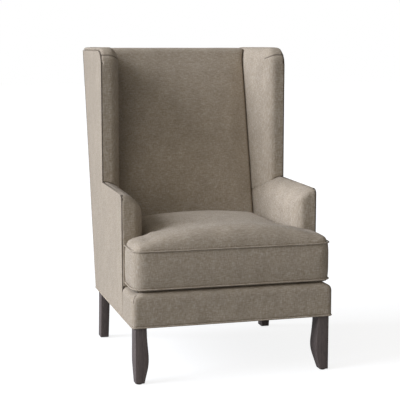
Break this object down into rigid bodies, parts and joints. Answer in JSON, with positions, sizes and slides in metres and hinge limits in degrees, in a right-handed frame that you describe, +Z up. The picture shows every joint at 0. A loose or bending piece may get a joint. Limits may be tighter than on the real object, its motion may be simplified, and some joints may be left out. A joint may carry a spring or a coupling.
{
  "type": "fireside chair",
  "caption": "High-back upholstered wing armchair with scooped arms, loose T-shaped boxed seat cushion with piping, padded front border and shaped dark wooden legs.",
  "frame": {"origin": "on the floor under the middle of the chair's outer box", "axes": "+Z up, the chair faces -Y, +X to the right as seen from the front"},
  "size_m": [0.766, 0.97, 1.198],
  "materials": {
    "cover_fabric": "plain-woven heathered taupe linen",
    "stained_wood": "dark grey-brown stained hardwood, satin lacquer",
    "frame_wood": "planed frame hardwood, bare",
    "foam": "cut polyurethane foam and batting",
    "webbing": "black woven tape and cloth",
    "steel": "plain steel wire and rod",
    "glide_plastic": "moulded nylon, dark"
  },
  "bodies": {
    "chair": {"front_leg_right": "stained_wood", "front_leg_left": "stained_wood", "back_leg_right": "stained_wood", "back_leg_left": "stained_wood", "front_leg_stud_right": "steel", "front_leg_stud_left": "steel", "back_leg_stud_right": "steel", "back_leg_stud_left": "steel", "front_glide_right": "glide_plastic", "front_glide_left": "glide_plastic", "back_glide_right": "glide_plastic", "back_glide_left": "glide_plastic", "front_seat_rail": "frame_wood", "back_seat_rail": "frame_wood", "side_seat_rail_right": "frame_wood", "side_seat_rail_left": "frame_wood", "corner_block_front_right": "frame_wood", "corner_block_front_left": "frame_wood", "corner_block_back_right": "frame_wood", "corner_block_back_left": "frame_wood", "back_post_right": "frame_wood", "back_post_left": "frame_wood", "top_back_rail": "frame_wood", "lower_back_rail": "frame_wood", "arm_stump_right": "frame_wood", "arm_stump_left": "frame_wood", "arm_rail_right": "frame_wood", "arm_rail_left": "frame_wood", "wing_frame_right": "frame_wood", "wing_frame_left": "frame_wood", "outside_panel_right": "cover_fabric", "outside_panel_left": "cover_fabric", "outside_back_panel": "cover_fabric", "arm_foam_right": "foam", "arm_foam_left": "foam", "arm_cover_right": "cover_fabric", "arm_cover_left": "cover_fabric", "wing_foam_right": "foam", "wing_foam_left": "foam", "wing_cover_right": "cover_fabric", "wing_cover_left": "cover_fabric", "back_foam": "foam", "back_cover": "cover_fabric", "back_webbing": "webbing", "front_border_foam": "foam", "front_border_cover": "cover_fabric", "seat_spring_1": "steel", "seat_spring_2": "steel", "seat_spring_3": "steel", "seat_spring_4": "steel", "seat_spring_5": "steel", "deck_pad": "foam", "dust_cover": "webbing", "base_welt": "cover_fabric"},
    "seat_cushion": {"seat_cushion_core": "foam", "seat_cushion_cover": "cover_fabric", "cushion_welt_top": "cover_fabric", "cushion_welt_bottom": "cover_fabric", "cushion_zip": "webbing"},
    "zip_slider": {"zip_slider": "steel"}
  },
  "joints": [
    {"name": "cushion_lift", "type": "slide", "parent": "chair", "child": "seat_cushion", "axis": [0, 0, 1], "range_m": [0, 0.9]},
    {"name": "zip_slide", "type": "slide", "parent": "seat_cushion", "child": "zip_slider", "axis": [-1, 0, 0], "range_m": [0, 0.45]}
  ]
}
